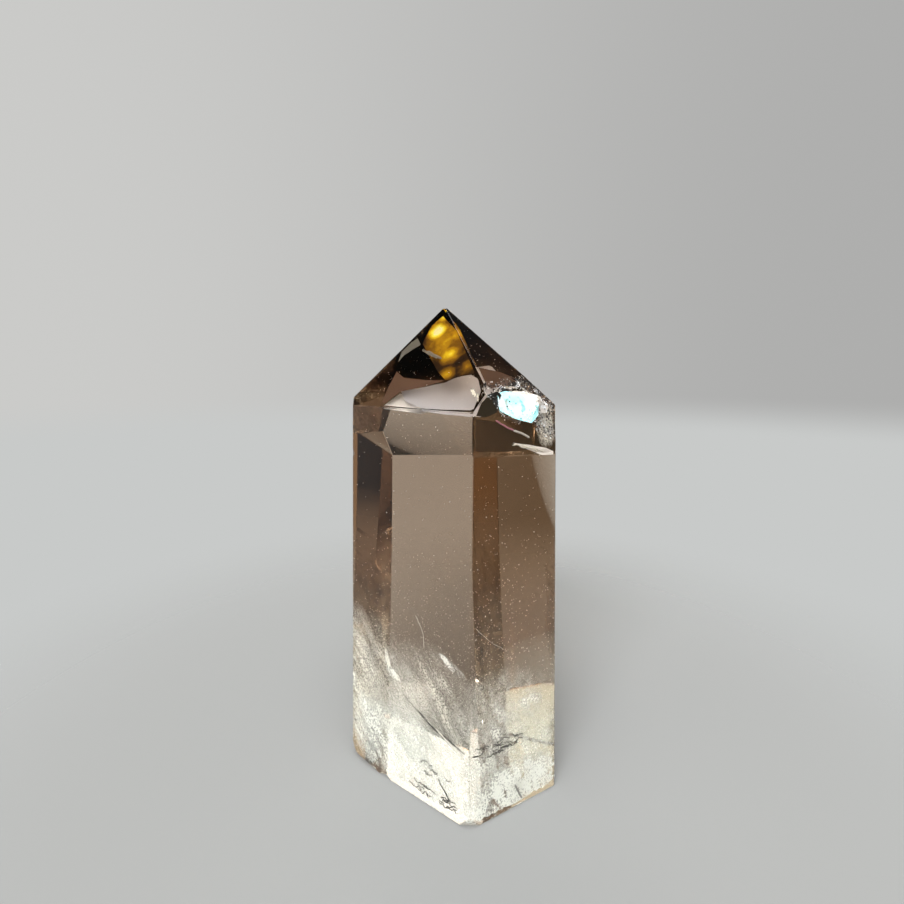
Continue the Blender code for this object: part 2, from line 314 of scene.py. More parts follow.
# How full its streaks are on average and at least, and what the broad and the fine ones add, which
# are so many times finer.
MEAN_STREAK, LEAST_STREAK, BROAD_STREAK, FINE_STREAK, FINER = 0.5, 0.05, 0.9, 0.5, 2.7
SPECK_MARGIN, CLOUD_MARGIN, VEIL_MARGIN = 0.15, 0.12, 0.1  # how far below the faces each stays
# The smallest grains, as shares of the largest.
SMALLEST_SPECK, SMALLEST_IN_CLOUD, SMALLEST_CRUMB, SMALLEST_SHADE_BLOB = 0.15, 0.4, 0.25, 0.3


# ---------------------------------------------------------------- small tools


def to_linear(code):
    """The linear colour of an sRGB hex code such as "#8a6b52"."""
    channels = (int(code[i : i + 2], 16) / 255 for i in (1, 3, 5))
    return (*(c / 12.92 if c <= 0.04045 else ((c + 0.055) / 1.055) ** 2.4 for c in channels), 1.0)


def add_node(tree, kind, inputs=None, **settings):
    """Adds one node. An input's value is a number or colour, or the socket that feeds it."""
    made = tree.nodes.new(kind)
    for name, value in settings.items():
        setattr(made, name, value)
    for key, value in (inputs or {}).items():
        if isinstance(value, bpy.types.NodeSocket):
            tree.links.new(value, made.inputs[key])
        else:
            made.inputs[key].default_value = value
    return made


def fill_ramp(ramp, stops):
    """Gives a colour ramp these stops: where each one lies, from 0 to 1, and its colour."""
    while len(ramp.elements) < len(stops):
        ramp.elements.new(0.5)
    for element, (at, colour) in zip(ramp.elements, stops):
        element.position, element.color = at, colour


def new_material(name):
    """An empty node material and its tree."""
    material = bpy.data.materials.new(name)
    material.use_nodes = True
    material.node_tree.nodes.clear()
    return material, material.node_tree


def link_object(name, mesh):
    obj = bpy.data.objects.new(name, mesh)
    bpy.context.scene.collection.objects.link(obj)
    return obj


def mesh_object(name, bm):
    """An object with this bmesh, which is freed."""
    mesh = bpy.data.meshes.new(name)
    bm.to_mesh(mesh)
    bm.free()
    return link_object(name, mesh)


def apply_modifiers(obj):
    """Gives the object the mesh that its modifiers make, and removes them."""
    graph = bpy.context.evaluated_depsgraph_get()
    mesh = bpy.data.meshes.new_from_object(obj.evaluated_get(graph))
    mesh.name = obj.name
    obj.modifiers.clear()
    obj.data = mesh


def cut_out(obj, body):
    """Cuts this bmesh, in metres, out of the object."""
    cutter = mesh_object("cutter", body)
    cut = obj.modifiers.new("cut", "BOOLEAN")
    cut.operation, cut.solver, cut.object = "DIFFERENCE", "EXACT", cutter
    apply_modifiers(obj)
    bpy.data.objects.remove(cutter, do_unlink=True)


def smooth_shading(bm):
    for face in bm.faces:
        face.smooth = True


def direction(azimuth, rise=0.0):
    """Unit vector that points along an azimuth and up by `rise`, both in degrees."""
    around, up = math.radians(azimuth), math.radians(rise)
    return Vector((math.cos(around) * math.cos(up), math.sin(around) * math.cos(up), math.sin(up)))


def merged_solid():
    """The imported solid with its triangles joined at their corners."""
    solid = bmesh.new()
    solid.from_mesh(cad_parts[NODE].data)
    bmesh.ops.remove_doubles(solid, verts=solid.verts, dist=1e-6)
    return solid


def drawn_in(shares, lift):
    """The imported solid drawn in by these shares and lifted, so that it lies inside the stone."""
    body = merged_solid()
    matrix = Matrix.Translation(Vector(lift) * MM) @ Matrix.Diagonal((*shares, 1.0))
    bmesh.ops.transform(body, matrix=matrix, verts=body.verts)
    return body


def crystal_planes():
    """Normals and distances of the crystal's large faces, in millimetres."""
    solid = merged_solid()
    found = {}
    for face in solid.faces:
        key = tuple(round(value, 2) for value in face.normal)
        area, _, _ = found.get(key, (0.0, None, None))
        found[key] = (area + face.calc_area(), face.normal.copy(), face.normal.dot(face.verts[0].co))
    solid.free()
    large = [(normal, far / MM) for area, normal, far in found.values() if area > LARGE_FACE * MM**2]
    return np.array([tuple(normal) for normal, _ in large]), np.array([far for _, far in large])


def inside(points, margin):
    """Which of these points, in millimetres, lie deeper below the large faces than the margin."""
    normals, far = crystal_planes()
    return (points @ normals.T - far).max(axis=1) < -margin


def surface_tree(obj):
    """The object's surface, made ready for searches."""
    return BVHTree.FromPolygons(
        [vert.co for vert in obj.data.vertices], [poly.vertices for poly in obj.data.polygons]
    )


def in_stone(points):
    """Which of these points, in millimetres, lie in the crystal as it is after all breaks."""
    tree = surface_tree(bpy.data.objects["crystal"])
    deep = []
    for point in points:
        spot = Vector(point) * MM
        near, outwards, _, _ = tree.find_nearest(spot)
        deep.append((spot - near).dot(outwards) < -BREAK_MARGIN * MM)
    return np.array(deep)


def ride(piece, material):
    """Gives a piece its material and hands it to the frame."""
    piece.data.materials.clear()
    piece.data.materials.append(material)
    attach(piece, ROOT)


# ---------------------------------------------------------------- materials


def finish(tree, surface, body=None):
    """Ends a material: how its surface looks and, if it is clear, what its inside absorbs."""
    shader = add_node(tree, "ShaderNodeBsdfPrincipled", surface)
    ends = {"Surface": shader.outputs[0]}
    if body:
        ends["Volume"] = add_node(tree, "ShaderNodeVolumeAbsorption", body).outputs[0]
    add_node(tree, "ShaderNodeOutputMaterial", ends)


def smoky_quartz(settings):
    """Natural quartz, ground flat and polished like glass.

    The eye sees sharp reflections and a clear, faintly warm stone whose tip is amber, and on
    broken spots a satin, frosted gloss.
    """
    material, tree = new_material("smoky_quartz_polished")
    place = add_node(tree, "ShaderNodeTexCoord").outputs["Object"]
    height = add_node(tree, "ShaderNodeSeparateXYZ", {0: place}).outputs["Z"]
    share = add_node(tree, "ShaderNodeMapRange", {"Value": height, "From Max": TIP_HEIGHT * MM})
    zones = add_node(tree, "ShaderNodeValToRGB", {"Fac": share.outputs["Result"]})
    tints = (settings.base_colour, settings.middle_colour, settings.upper_colour, settings.tip_colour)
    fill_ramp(zones.color_ramp, [(at, (*tint, 1.0)) for at, tint in zip(TINT_HEIGHTS, tints)])
    broken = add_node(tree, "ShaderNodeAttribute", attribute_name="broken").outputs["Fac"]
    ends = {"Value": broken, "To Min": settings.polish, "To Max": settings.break_gloss}
    gloss = add_node(tree, "ShaderNodeMapRange", ends).outputs["Result"]
    surface = {"Base Color": zones.outputs["Color"], "Roughness": gloss, "IOR": settings.ior}
    surface["Transmission Weight"] = 1.0
    finish(tree, surface, {"Color": (*settings.clear_colour, 1.0), "Density": settings.clear_density})
    return material


def smoke(name, colour, density):
    """Quartz browned by radiation, inside the stone: it only dims and browns what is behind it."""
    material, tree = new_material(name)
    surface = {"Base Color": (1.0, 1.0, 1.0, 1.0), "Roughness": 0.0, "IOR": 1.0}
    surface["Transmission Weight"] = 1.0
    finish(tree, surface, {"Color": (*colour, 1.0), "Density": density})
    return material


def inclusion(name, colour, roughness):
    """Tiny bubbles, flakes, threads or films in the quartz: pale or dark, with a dull gloss."""
    material, tree = new_material(name)
    finish(tree, {"Base Color": to_linear(colour), "Roughness": roughness, "IOR": 1.4})
    return material


def crack_with_painted_amber_glow():
    """A crack with painted light: a black-brown ground, spots of painted amber glow and a yellow heart."""
    material, tree = new_material("crack_with_painted_amber_glow")
    place = add_node(tree, "ShaderNodeTexCoord").outputs["Object"]
    # The painted glow: at each point, the strongest of the amber spots.
    glow = 0.0
    for spot, reach, strength in AMBER_SPOTS:
        ends = {0: place, 1: Vector(spot) * MM}
        far = add_node(tree, "ShaderNodeVectorMath", ends, operation="DISTANCE").outputs["Value"]
        fade = {"Value": far, "From Max": reach * MM, "To Min": 1.0, "To Max": 0.0}
        near = add_node(tree, "ShaderNodeMapRange", fade).outputs["Result"]
        near = add_node(tree, "ShaderNodeMath", {0: near, 1: strength}, operation="MULTIPLY")
        glow = add_node(tree, "ShaderNodeMath", {0: near.outputs[0], 1: glow}, operation="MAXIMUM").outputs[0]
    # Chance brightens or darkens the glow by up to a quarter.
    pattern = {"Vector": place, "Scale": 0.9 / MM, "Detail": 3.0}
    grain = add_node(tree, "ShaderNodeTexNoise", pattern).outputs["Fac"]
    grain = add_node(tree, "ShaderNodeMath", {0: grain, 1: 0.5, 2: -0.25}, operation="MULTIPLY_ADD")
    glow = add_node(tree, "ShaderNodeMath", {0: glow, 1: grain.outputs[0]}, operation="ADD")
    stain = add_node(tree, "ShaderNodeValToRGB", {"Fac": glow.outputs[0]})
    stain.color_ramp.interpolation = "EASE"
    fill_ramp(stain.color_ramp, [(at, to_linear(code)) for at, code in AMBER_TONES])
    surface = {"Base Color": stain.outputs["Color"], "Roughness": 0.45, "Specular IOR Level": 0.1}
    finish(tree, surface)
    return material


def veil_haze(grain):
    """Fine bubbles in a healed crack: a white haze, streaked along the grain, soft at its rim."""
    material, tree = new_material("healed_crack_haze")
    place = add_node(tree, "ShaderNodeTexCoord").outputs["Object"]
    side = grain.orthogonal().normalized()
    # Wisps of so many to a millimetre: few along the grain, many across it.
    drawn = []
    for way, count in ((grain, 0.14), (side, 0.9), (grain.cross(side), 0.9)):
        ends = {0: place, 1: way * count / MM}
        drawn.append(add_node(tree, "ShaderNodeVectorMath", ends, operation="DOT_PRODUCT").outputs["Value"])
    streaked = add_node(tree, "ShaderNodeCombineXYZ", dict(enumerate(drawn))).outputs[0]
    # Wisps, and in them the single bubbles: each a pattern and the values between which it fills.
    cover = 1.0
    for pattern, low, high, least in (
        ({"Vector": streaked, "Scale": 1.0, "Detail": 5.0, "Roughness": 0.6}, 0.3, 0.66, 0.0),
        ({"Vector": place, "Scale": 5.0 / MM, "Detail": 2.0}, 0.42, 0.58, 0.3),
    ):
        chance = add_node(tree, "ShaderNodeTexNoise", pattern).outputs["Fac"]
        fill = {"Value": chance, "From Min": low, "From Max": high, "To Min": least}
        chance = add_node(tree, "ShaderNodeMapRange", fill).outputs["Result"]
        cover = add_node(tree, "ShaderNodeMath", {0: cover, 1: chance}, operation="MULTIPLY").outputs[0]
    haze = add_node(tree, "ShaderNodeAttribute", attribute_name="haze").outputs["Fac"]
    cover = add_node(tree, "ShaderNodeMath", {0: haze, 1: cover}, operation="MULTIPLY", use_clamp=True)
    surface = {"Base Color": to_linear("#f8faf4"), "Roughness": 0.5, "Alpha": cover.outputs[0]}
    finish(tree, surface)
    return material


def crushed_quartz_with_painted_sheen():
    """Quartz crushed by a blow: snow white and glossy, with a painted cyan reflection in clouds."""
    material, tree = new_material("crushed_quartz_with_painted_sheen")
    place = add_node(tree, "ShaderNodeTexCoord").outputs["Object"]
    pattern = {"Vector": place, "Scale": 0.45 / MM, "Detail": 3.0}
    cloud = add_node(tree, "ShaderNodeTexNoise", pattern).outputs["Fac"]
    sheen = add_node(tree, "ShaderNodeValToRGB", {"Fac": cloud})
    fill_ramp(sheen.color_ramp, [(at, to_linear(code)) for at, code in SHEEN_TONES])
    finish(tree, {"Base Color": sheen.outputs["Color"], "Roughness": 0.2, "IOR": 1.5})
    return material


def matt_floor(colour):
    """Plain matt floor: pale, with a painted shadow under the stone, and seen through far off."""
    material, tree = new_material("floor_matt")
    place = add_node(tree, "ShaderNodeTexCoord").outputs["Object"]
    far = add_node(tree, "ShaderNodeVectorMath", {0: place}, operation="LENGTH").outputs["Value"]
    shares = []
    for near_end, far_end, least in (FLOOR_FADE, CONTACT_SHADOW):
        fade = {"Value": far, "From Min": near_end * MM, "From Max": far_end * MM, "To Min": least}
        made = add_node(tree, "ShaderNodeMapRange", fade, interpolation_type="SMOOTHSTEP")
        shares.append(made.outputs["Result"])
    fade, light = shares
    # The floor's colour is darkened by the painted contact shadow.
    ends = {0: tuple(colour), "Scale": light}
    shade = add_node(tree, "ShaderNodeVectorMath", ends, operation="SCALE").outputs["Vector"]
    matt = add_node(tree, "ShaderNodeBsdfDiffuse", {"Color": shade})
    clear = add_node(tree, "ShaderNodeBsdfTransparent")
    mixed = add_node(tree, "ShaderNodeMixShader", {0: fade, 1: matt.outputs[0], 2: clear.outputs[0]})
    add_node(tree, "ShaderNodeOutputMaterial", {"Surface": mixed.outputs[0]})
    return material


# ---------------------------------------------------------------- shapes


def strike_flakes(crystal):
    """Strikes the bruise's fine flakes out of the crystal."""
    for flake in FLAKES:
        facing = direction(flake.azimuth, flake.rise)
        ball = bmesh.new()
        bmesh.ops.create_icosphere(ball, subdivisions=3, radius=flake.radius)
        for vert in ball.verts:
            outwards = vert.co.normalized()
            chance = noise.noise(outwards * FLAKE_LUMPS + Vector(flake.spot))
            vert.co += outwards * flake.radius * FLAKE_UNEVEN * chance
        centre = Vector(flake.spot) + facing * (flake.radius - flake.depth)
        bmesh.ops.translate(ball, verts=ball.verts, vec=centre)
        bmesh.ops.scale(ball, verts=ball.verts, vec=(MM, MM, MM))
        cut_out(crystal, ball)


def resampled(outline, count):
    """So many points, spread evenly along the closed outline."""
    outline = [Vector(point) for point in outline]
    ends = outline[1:] + outline[:1]
    lengths = [(b - a).length for a, b in zip(outline, ends)]
    points = []
    for step in range(count):
        left = sum(lengths) * step / count
        for a, b, length in zip(outline, ends, lengths):
            if left <= length:
                points.append(a.lerp(b, left / length))
                break
            left -= length
    return points


def add_web(bm, hub, rings, flipped=False):
    """Fills the faces between a middle vertex and the rings of vertices around it."""
    count = len(rings[0])
    for index in range(count):
        after = (index + 1) % count
        cells = [[hub, rings[0][index], rings[0][after]]]
        for inner, outer in zip(rings, rings[1:]):
            cells.append([inner[index], outer[index], outer[after], inner[after]])
        for cell in cells:
            bm.faces.new(cell[::-1] if flipped else cell)


def shell_wave(crack, spot):
    """How far the crack's film rises at this spot, by its shell-like waves and by chance."""
    wave = math.sin(math.tau * (spot - Vector(crack.strike)).length / crack.spacing)
    wave += noise.noise(spot * CRACK_LUMPS) * 2.0
    return crack.waves * wave * 0.5


def add_crack(bm, crack):
    """Adds a closed film of air, which is thickest in its middle."""
    outline = resampled(crack.outline, CRACK_ROUND)
    centre = sum(outline, Vector()) / len(outline)
    across = sum(
        ((a - centre).cross(b - centre) for a, b in zip(outline, outline[1:] + outline[:1])), Vector()
    ).normalized()

    def vertex(point, share, side):
        """A vertex at this share of the way from the film's middle to a point of its outline."""
        spot = centre.lerp(point, share)
        open_by = side * GAP / 2 * math.sqrt(1.0 - share**2)
        return bm.verts.new((spot + across * (shell_wave(crack, spot) + open_by)) * MM)

    rim = [vertex(point, 1.0, 0.0) for point in outline]
    for side in (1.0, -1.0):
        hub = vertex(centre, 0.0, side)
        rings = [
            [vertex(point, ring / CRACK_RINGS, side) for point in outline]
            for ring in range(1, CRACK_RINGS)
        ]
        add_web(bm, hub, rings + [rim], flipped=side < 0.0)
    smooth_shading(bm)
    # The film's rim is sharp, so that each of its sheets is lit as the flat thing that it is.
    for index, vert in enumerate(rim):
        bm.edges.get((vert, rim[index - 1])).smooth = False


def add_veil(bm, veil):
    """Adds an oval sheet that bends a little, and gives back the haze at each of its points."""
    along = Vector(veil.along).normalized()
    across = Vector(veil.faces).normalized().cross(along).normalized()
    faces = along.cross(across)
    haze = []

    def vertex(ring, turn):
        share = ring / VEIL_RINGS
        out = along * (math.cos(turn) * veil.length / 2) + across * (math.sin(turn) * veil.width / 2)
        point = Vector(veil.centre) + out * share
        point += faces * (VEIL_BEND * noise.noise(point * VEIL_BENDS))
        haze.append(veil.haze * (1.0 - share**2))
        return bm.verts.new(point * MM)

    hub = vertex(0, 0.0)
    rings = [
        [vertex(ring, math.tau * k / VEIL_ROUND) for k in range(VEIL_ROUND)]
        for ring in range(1, VEIL_RINGS + 1)
    ]
    add_web(bm, hub, rings)
    return haze


def project_patch(name, outline, onto, way, inset):
    """A fine sheet with this outline, laid along the way onto an object and this deep in it."""
    tree = surface_tree(onto)
    rim = resampled(outline, PATCH_ROUND)
    centre = sum(rim, Vector()) / len(rim)
    sheet = bmesh.new()

    def vertex(point, share):
        start = centre.lerp(point, share) * MM - way * (PATCH_START * MM)
        hit = tree.ray_cast(start, way)[0]
        if hit is None:
            raise ValueError(name + " misses the surface that it lies on")
        return sheet.verts.new(hit + way * (inset * MM))

    hub = vertex(centre, 0.0)
    add_web(sheet, hub, [[vertex(point, share) for point in rim] for share in PATCH_RINGS])
    for face in sheet.faces:
        face.normal_update()
        if face.normal.dot(way) > 0.0:
            face.normal_flip()
    smooth_shading(sheet)
    return mesh_object(name, sheet)


def speck_group():
    """Geometry Nodes group that puts one small grain on each point."""
    group = bpy.data.node_groups.new("specks_on_points", "GeometryNodeTree")
    for name, kind, low in (
        ("Geometry", "NodeSocketGeometry", None),
        ("Grain radius", "NodeSocketFloat", 0.0),
        ("Smallest share", "NodeSocketFloat", 0.0),
        ("Seed", "NodeSocketInt", 0),
        ("Grain", "NodeSocketMaterial", None),
    ):
        socket = group.interface.new_socket(name, in_out="INPUT", socket_type=kind)
        if low is not None:
            socket.min_value = low
    group.interface.new_socket("Geometry", in_out="OUTPUT", socket_type="NodeSocketGeometry")
    given = add_node(group, "NodeGroupInput").outputs
    size = {"Segments": 4, "Rings": 2, "Radius": given["Grain radius"]}
    grain = add_node(group, "GeometryNodeMeshUVSphere", size).outputs["Mesh"]
    limits = {1: (math.tau, math.tau, math.tau), "Seed": given["Seed"]}
    turn = add_node(group, "FunctionNodeRandomValue", limits, data_type="FLOAT_VECTOR").outputs[0]
    limits = {2: given["Smallest share"], 3: 1.0, "Seed": given["Seed"]}
    share = add_node(group, "FunctionNodeRandomValue", limits, data_type="FLOAT").outputs[1]
    placing = {"Points": given["Geometry"], "Instance": grain, "Rotation": turn, "Scale": share}
    placed = add_node(group, "GeometryNodeInstanceOnPoints", placing)
    real = add_node(group, "GeometryNodeRealizeInstances", {0: placed.outputs[0]})
    dressed = {0: real.outputs[0], "Material": given["Grain"]}
    done = add_node(group, "GeometryNodeSetMaterial", dressed)
    add_node(group, "NodeGroupOutput", {0: done.outputs[0]})
    return group


def scatter(name, points, radius, smallest, seed, material):
    """Makes a piece of one grain on each of these points, which alone are in millimetres.

    The smallest grain is this share of the radius.
    """
    mesh = bpy.data.meshes.new(name)
    mesh.from_pydata([tuple(point) for point in points * MM], [], [])
    piece = link_object(name, mesh)
    group = bpy.data.node_groups.get("specks_on_points") or speck_group()
    grains = piece.modifiers.new("grains", "NODES")
    grains.node_group = group
    values = {"Grain radius": radius, "Smallest share": smallest, "Seed": seed, "Grain": material}
    for socket in group.interface.items_tree:
        if socket.in_out == "INPUT" and socket.name in values:
            grains[socket.identifier] = values[socket.name]
    apply_modifiers(piece)
    ride(piece, material)


def add_thread(bm, points, radius):
    """Adds a thin closed tube along the points, drawn out to a tip at both ends."""
    rings = []
    for index, point in enumerate(points):
        ahead = points[min(index + 1, len(points) - 1)] - points[max(index - 1, 0)]
        ahead.normalize()
        side = ahead.orthogonal().normalized()
        other = ahead.cross(side)
        width = radius * (THREAD_TIP if index in (0, len(points) - 1) else 1.0)
        ring = []
        for k in range(THREAD_SIDES):
            turn = math.tau * k / THREAD_SIDES
            out = (side * math.cos(turn) + other * math.sin(turn)) * width
            ring.append(bm.verts.new((point + out) * MM))
        rings.append(ring)
    for row, after in zip(rings, rings[1:]):
        for k in range(THREAD_SIDES):
            beside = (k + 1) % THREAD_SIDES
            bm.faces.new((row[k], row[beside], after[beside], after[k]))
    bm.faces.new(rings[0][::-1])
    bm.faces.new(rings[-1])


def thread_paths(thread, chance):
    """The points of each thread of a bundle. A thread of its own runs the whole way."""
    start, end = Vector(thread.start), Vector(thread.end)
    outwards = Vector(FRONT if start.x < FRONT_EDGE else RIGHT)
    across = (end - start).cross(outwards).normalized()
    latest, longest, bends = SQUIGGLE if thread.wander > CALM_WANDER else CALM
    for _ in range(thread.count):
        aside = chance.uniform(-0.5, 0.5) * thread.spread
        first, last = 0.0, 1.0
        if thread.count > 1:
            first = chance.uniform(0.0, latest)
            last = min(1.0, first + chance.uniform(SHORTEST, 1.0) * longest)
        phase = Vector(chance.uniform(0.0, PATTERN_SHIFT, 3))
        path = []
        for step in range(THREAD_STEPS + 1):
            share = first + (last - first) * step / THREAD_STEPS
            bow = thread.bow * math.sin(math.pi * share)
            point = start.lerp(end, share) + across * (aside + bow)
            roam = noise.noise_vector(point * bends + phase) * thread.wander
            path.append(point + across * roam.x + outwards * roam.y * WANDER_DEPTH)
        yield path


# ---------------------------------------------------------------- settings


def colour_setting(name, description, code):
    return bpy.props.FloatVectorProperty(
        name=name, description=description, subtype="COLOR", size=3, default=to_linear(code)[:3]
    )


def length_setting(name, description, millimetres):
    return bpy.props.FloatProperty(
        name=name,
        description=description,
        default=millimetres * MM,
        min=0.0,
        subtype="DISTANCE",
        unit="LENGTH",
    )


def number_setting(name, description, default, most):
    return bpy.props.FloatProperty(
        name=name, description=description, default=default, min=0.0, max=most
    )


def count_setting(name, description, default):
    return bpy.props.IntProperty(name=name, description=description, default=default, min=0)


class QuartzStone(bpy.types.PropertyGroup):
    """The stone's own finish"""

    ior: number_setting("IOR", "Quartz bends light by this much", 1.544, 3.0)
    polish: number_setting("Polish", "Roughness of the ground faces", 0.0, 1.0)
    break_gloss: number_setting("Break", "Roughness of broken faces", 0.1, 1.0)
    base_colour: colour_setting("Base", "Tint at the base", "#fbfaf4")
    middle_colour: colour_setting("Middle", "Tint at a third of the height", "#f8f3ec")
    upper_colour: colour_setting("Upper", "Tint at the shoulders", "#efe4d8")
    tip_colour: colour_setting("Tip", "Tint at the tip", "#e2cdae")
    clear_colour: colour_setting("Clear", "Absorption colour of the whole stone", "#cfc8ae")
    clear_density: number_setting("Clear density", "Absorption for each metre of it", 16.0, 1000.0)
    smoke_colour: colour_setting("Smoke", "Absorption colour of the smoke", "#c59559")
    smoke_density: number_setting("Smoke density", "Absorption for each metre of it", 42.0, 1000.0)
    smoke_floor: length_setting("Smoke floor", "Height at which it ends in the stone's middle", 11.0)
    deep_colour: colour_setting("Deep smoke", "Absorption colour of the darkest smoke", "#957c61")
    deep_density: number_setting("Deep density", "Absorption for each metre of it", 700.0, 2000.0)


class QuartzInclusions(bpy.types.PropertyGroup):
    """Specks, clouds and threads in the stone"""

    speck_count: count_setting("Specks", "Specks before those outside are dropped", 15000)
    speck_radius: length_setting("Speck radius", "Radius of the largest speck", 0.072)
    cloud_count: count_setting("Cloud", "Specks of the pale cloud before thinning", 90000)
    cloud_radius: length_setting("Cloud radius", "Radius of the cloud's largest speck", 0.05)
    crumb_count: count_setting("Crumbs", "Crumbs of crushed quartz in the bruise", 900)
    crumb_radius: length_setting("Crumb radius", "Radius of the largest crumb", 0.09)
    seed: count_setting("Seed", "Start of the random places", 7)


class QuartzStage(bpy.types.PropertyGroup):
    """Floor, backdrop and light"""

    floor_colour: colour_setting("Floor", "Colour of the floor", "#7e7e7c")
    floor_far: colour_setting("Far floor", "Colour of the floor far off", "#c8cac9")
    wall_left: colour_setting("Left", "Backdrop at the left", "#cbcbc9")
    wall_right: colour_setting("Right", "Backdrop at the right", "#aeaead")


# ---------------------------------------------------------------- operators


class QUARTZ_OT_crystal(bpy.types.Operator):
    """Makes the crystal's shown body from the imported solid"""

    bl_idname = "quartz.crystal"
    bl_label = "Crystal"

    def execute(self, context):
        crystal = mesh_object("crystal", merged_solid())
        strike_flakes(crystal)
        # Faces in the bruise that lie off the ground planes are broken ones.
        normals, far = crystal_planes()
        right_of, before, above = BRUISE_LIMITS
        flags = []
        for face in crystal.data.polygons:
            spot = np.array(face.center) / MM
            off = np.abs(normals @ spot - far).min()
            bruised = spot[0] > right_of and spot[1] < before and spot[2] > above
            flags.append(1.0 if bruised and off > GROUND_DEPTH else 0.0)
        broken = crystal.data.attributes.new("broken", "FLOAT", "FACE")
        broken.data.foreach_set("value", np.array(flags, np.float32))
        ride(crystal, smoky_quartz(context.scene.quartz_stone))
        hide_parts(NODE)
        return {"FINISHED"}


class QUARTZ_OT_bruise(bpy.types.Operator):
    """Makes the crushed white quartz in the bruise"""

    bl_idname = "quartz.bruise"
    bl_label = "Bruise"

    def execute(self, context):
        settings = context.scene.quartz_inclusions
        crystal = bpy.data.objects["crystal"]
        inwards = -direction(*FRONT_RIGHT_FACE)
        # The facet: white crushed quartz with a painted cyan reflection.
        facet = project_patch("bruise_facet", FACET, crystal, inwards, FACET_INSET)
        ride(facet, crushed_quartz_with_painted_sheen())
        # Snow white and bright, like the crushed rim of a glass edge; its crumbs also stand for painted
        # glints.
        snow = inclusion("crushed_quartz_white", "#fbfdff", 0.25)
        ride(project_patch("bruise_rim", WHITE_RIM, crystal, inwards, RIM_INSET), snow)
        # Crumbs of crushed quartz just below the broken faces, white for their own colour and for painted
        # glints.
        chance = np.random.default_rng(settings.seed + 2)
        broken = crystal.data.attributes["broken"].data
        faces = [poly for poly in crystal.data.polygons if broken[poly.index].value > 0.5]
        areas = np.array([poly.area for poly in faces])
        points = []
        for index in chance.choice(len(faces), settings.crumb_count, p=areas / areas.sum()):
            depth = chance.uniform(*CRUMB_DEPTHS) * MM
            spot = (faces[index].center - faces[index].normal * depth) / MM
            points.append(spot + Vector(chance.normal(0.0, CRUMB_SPREAD, 3)))
        points = np.array(points)
        seed = settings.seed + 2
        scatter("bruise_crumbs", points[::2], settings.crumb_radius, SMALLEST_CRUMB, seed, snow)
        # Painted shade: black blobs between the crumbs, where no light comes back.
        shadows = inclusion("bruise_shadows", "#0d0c0c", 0.3)
        radius = settings.crumb_radius * SHADE_BLOB_SIZE
        scatter("bruise_shadows", points[1::2], radius, SMALLEST_SHADE_BLOB, seed + 2, shadows)
        return {"FINISHED"}


class QUARTZ_OT_cracks(bpy.types.Operator):
    """Makes the thin cracks inside the crystal"""

    bl_idname = "quartz.cracks"
    bl_label = "Cracks"

    def execute(self, context):
        finishes = {
            # Films of air that turn the light back, painted as the light they reflect: pale satin, or snow
            # white.
            "silver": inclusion("crack_silver", "#d2d4de", 0.35),
            "white": inclusion("crack_white", "#ffffff", 0.35),
            # A film painted black for the shade and the dark that it faces, with a faint gleam.
            "dark": inclusion("crack_dark", "#0c0b0a", 0.3),
            # Zones of dense smoke, matt reddish brown and almost black brown.
            "brown": inclusion("brown_quartz_zone", "#5b4131", 0.6),
            "deep brown": inclusion("deep_brown_quartz_zone", "#3a2410", 0.6),
            # A dusty film, dull grey.
            "grey": inclusion("crack_grey", "#6c6d6e", 0.6),
            "amber": crack_with_painted_amber_glow(),
        }
        for crack in CRACKS:
            film = bmesh.new()
            add_crack(film, crack)
            ride(mesh_object(crack.name, film), finishes[crack.finish])
        return {"FINISHED"}


class QUARTZ_OT_smoke(bpy.types.Operator):
    """Makes the body of smoke inside the crystal, which ends in a dome above the base"""

    bl_idname = "quartz.smoke"
    bl_label = "Smoke"

    def execute(self, context):
        settings = context.scene.quartz_stone
        body = mesh_object("smoke", drawn_in(SMOKE_SHARES, SMOKE_LIFT))
        dome = bmesh.new()
        bmesh.ops.create_uvsphere(dome, u_segments=48, v_segments=24, radius=1.0)
        size = (DOME_SIZE[0] * MM, DOME_SIZE[1] * MM, settings.smoke_floor)
        bmesh.ops.scale(dome, vec=size, verts=dome.verts)
        cut_out(body, dome)
        ride(body, smoke("smoke_in_quartz", settings.smoke_colour, settings.smoke_density))
        # The darkest smoke fills the back of the point.
        deep = drawn_in(DEEP_SMOKE_SHARES, DEEP_SMOKE_LIFT)
        for point, outwards in DEEP_SMOKE_CUTS:
            sawn = bmesh.ops.bisect_plane(
                deep,
                geom=deep.verts[:] + deep.edges[:] + deep.faces[:],
                plane_co=Vector(point) * MM,
                plane_no=outwards,
                clear_outer=True,
            )
            rim = [item for item in sawn["geom_cut"] if isinstance(item, bmesh.types.BMEdge)]
            bmesh.ops.edgeloop_fill(deep, edges=rim)
        darkest = smoke("deep_smoke_in_quartz", settings.deep_colour, settings.deep_density)
        ride(mesh_object("deep_smoke", deep), darkest)
        return {"FINISHED"}


